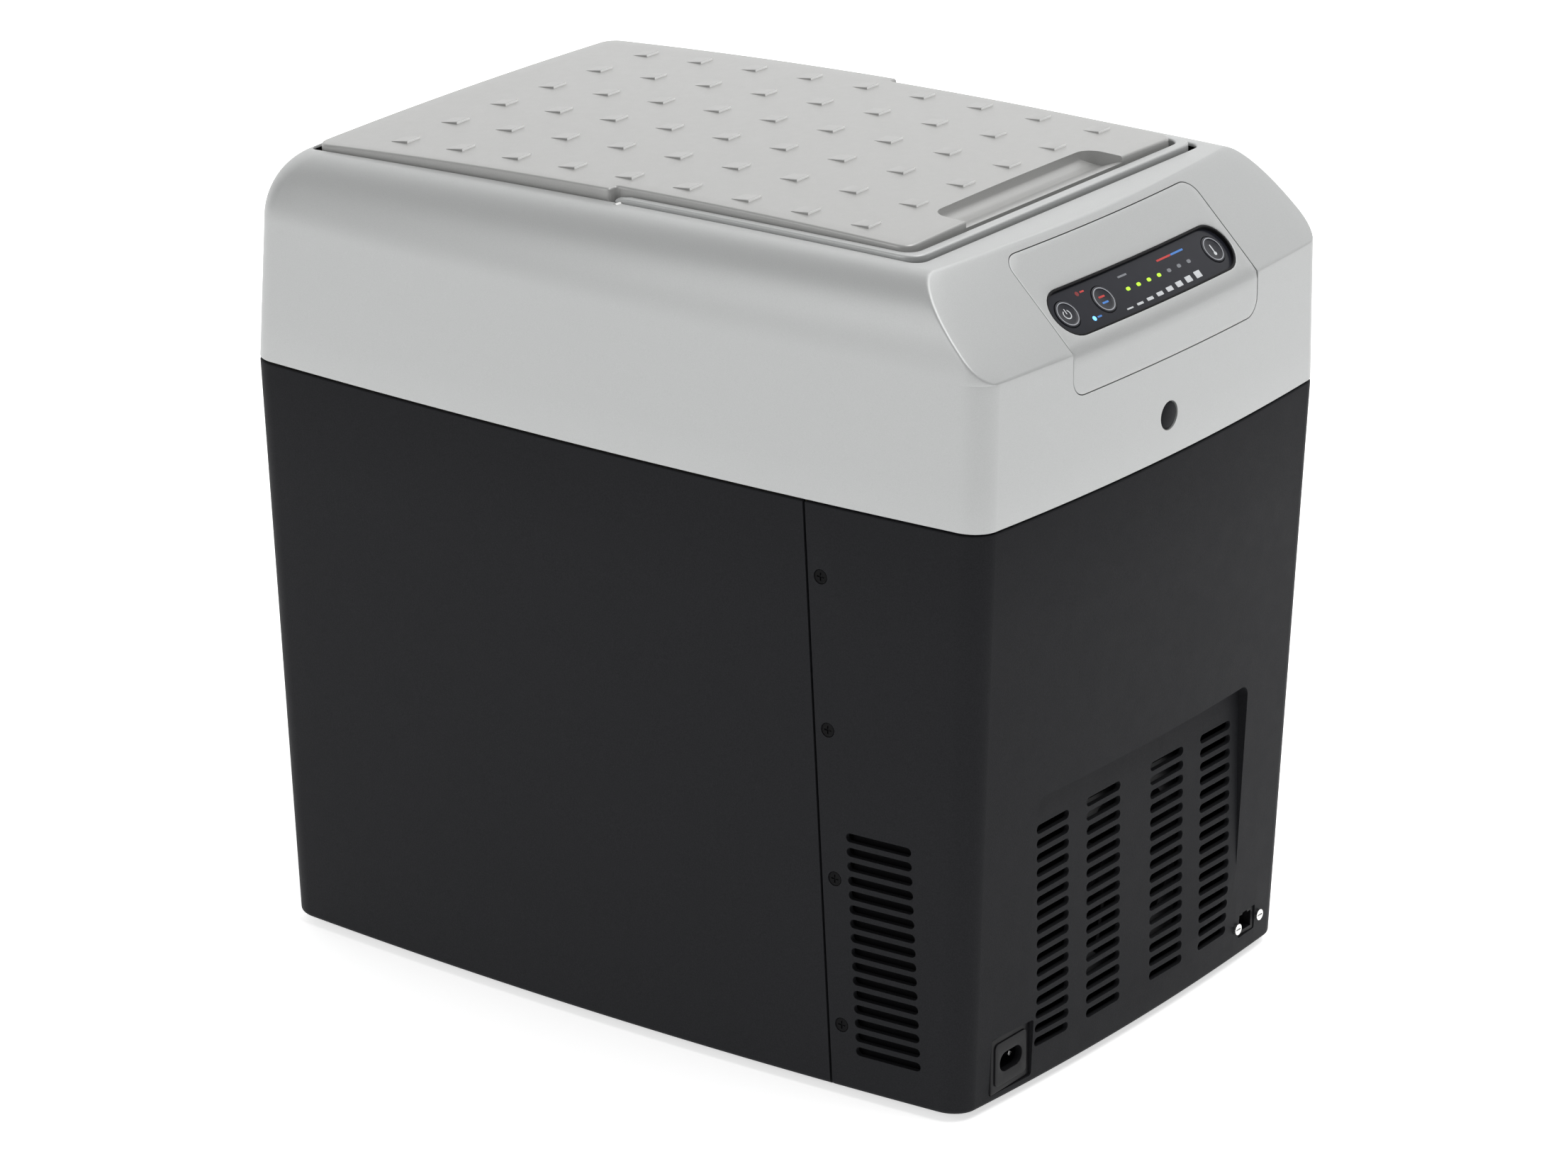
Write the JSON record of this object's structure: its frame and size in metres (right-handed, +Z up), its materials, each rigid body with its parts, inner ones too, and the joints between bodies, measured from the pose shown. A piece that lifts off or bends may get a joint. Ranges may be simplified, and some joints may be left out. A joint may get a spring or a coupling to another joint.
{
  "type": "portable thermoelectric cooler box",
  "caption": "Portable cooler box for camping with a stepped lid, fold-down carry handle, sloping control panel, vented end cover and a fan-cooled thermoelectric unit inside.",
  "frame": {"origin": "middle of the footprint, at floor level", "axes": "+Z up; +Y along the box towards the lid hinge; the control panel faces -Y; X across the box"},
  "size_m": [0.303, 0.4502, 0.42],
  "materials": {
    "silver_shell": "satin",
    "charcoal_shell": "matte",
    "light_liner": "satin",
    "insulating_foam": "matte",
    "black_rubber": "matte",
    "black_plastic": "satin",
    "smoked_lens": "gloss",
    "bare_aluminium": "satin",
    "bright_steel": "satin",
    "black_steel": "satin",
    "white_ceramic": "matte",
    "green_board": "satin",
    "led_green": "gloss",
    "led_blue": "gloss",
    "led_red": "gloss"
  },
  "bodies": {
    "cabinet": {"lower_casing": "charcoal_shell", "machine_cover": "charcoal_shell", "upper_casing": "silver_shell", "inner_liner": "light_liner", "foam_insulation": "insulating_foam", "foot_front_left": "black_rubber", "foot_front_right": "black_rubber", "foot_rear_left": "black_rubber", "foot_rear_right": "black_rubber", "cover_screw_left_1": "black_steel", "cover_screw_left_2": "black_steel", "cover_screw_left_3": "black_steel", "cover_screw_left_4": "black_steel", "cover_screw_right_1": "black_steel", "cover_screw_right_2": "black_steel", "cover_screw_right_3": "black_steel", "cover_screw_right_4": "black_steel", "control_bezel": "silver_shell", "display_window": "smoked_lens", "display_board": "green_board", "level_leds": "led_green", "cool_led": "led_blue", "heat_led": "led_red", "front_plug": "black_rubber", "ac_inlet": "black_plastic", "dc_socket": "black_plastic", "ac_pin_left": "bright_steel", "dc_blade_left": "bright_steel", "dc_screw_left": "bright_steel", "ac_pin_right": "bright_steel", "dc_blade_right": "bright_steel", "dc_screw_right": "bright_steel", "hot_heatsink": "bare_aluminium", "clamp_screw_1": "bright_steel", "clamp_screw_2": "bright_steel", "peltier_module": "white_ceramic", "cold_block": "bare_aluminium", "cold_heatsink": "bare_aluminium", "hot_fan_frame": "black_plastic", "cold_fan_frame": "black_plastic", "cold_fan_cover": "light_liner", "power_supply": "bare_aluminium", "control_board": "green_board", "mains_lead": "black_rubber", "fan_lead": "black_rubber", "display_ribbon": "light_liner", "lid_hinge_pin_left": "bright_steel", "handle_pin_left": "bright_steel", "lid_hinge_pin_right": "bright_steel", "handle_pin_right": "bright_steel"},
    "lid": {"lid_top": "silver_shell", "lid_foam": "insulating_foam", "lid_inner": "light_liner", "lid_gasket": "black_rubber"},
    "handle": {"carry_handle": "silver_shell"},
    "power_key": {"power_button": "smoked_lens"},
    "mode_key": {"mode_button": "smoked_lens"},
    "temperature_key": {"temperature_button": "smoked_lens"},
    "hot_fan": {"hot_fan_rotor": "black_plastic"},
    "cold_fan": {"cold_fan_rotor": "black_plastic"}
  },
  "joints": [
    {"name": "lid_hinge", "type": "hinge", "parent": "cabinet", "child": "lid", "pos_m": [0, 0.19047, 0.40043], "axis": [-1, 0, 0], "range_deg": [0, 92]},
    {"name": "handle_pivot", "type": "hinge", "parent": "cabinet", "child": "handle", "pos_m": [0, 0.00802, 0.4088], "axis": [-1, 0, 0], "range_deg": [0, 88]},
    {"name": "power_press", "type": "slide", "parent": "cabinet", "child": "power_key", "axis": [0.0311, 0.6966, -0.7167], "range_m": [0, 0.0007], "stiffness_N_per_m": 500, "springref_m": -0.0004},
    {"name": "mode_press", "type": "slide", "parent": "cabinet", "child": "mode_key", "axis": [0.0167, 0.6969, -0.717], "range_m": [0, 0.0007], "stiffness_N_per_m": 500, "springref_m": -0.0004},
    {"name": "temperature_press", "type": "slide", "parent": "cabinet", "child": "temperature_key", "axis": [-0.0311, 0.6966, -0.7167], "range_m": [0, 0.0007], "stiffness_N_per_m": 500, "springref_m": -0.0004},
    {"name": "hot_fan_spin", "type": "hinge", "parent": "cabinet", "child": "hot_fan", "pos_m": [0, -0.19, 0.085], "axis": [0, -1, 0], "continuous": true},
    {"name": "cold_fan_spin", "type": "hinge", "parent": "cabinet", "child": "cold_fan", "pos_m": [0, -0.08, 0.085], "axis": [0, -1, 0], "continuous": true}
  ]
}
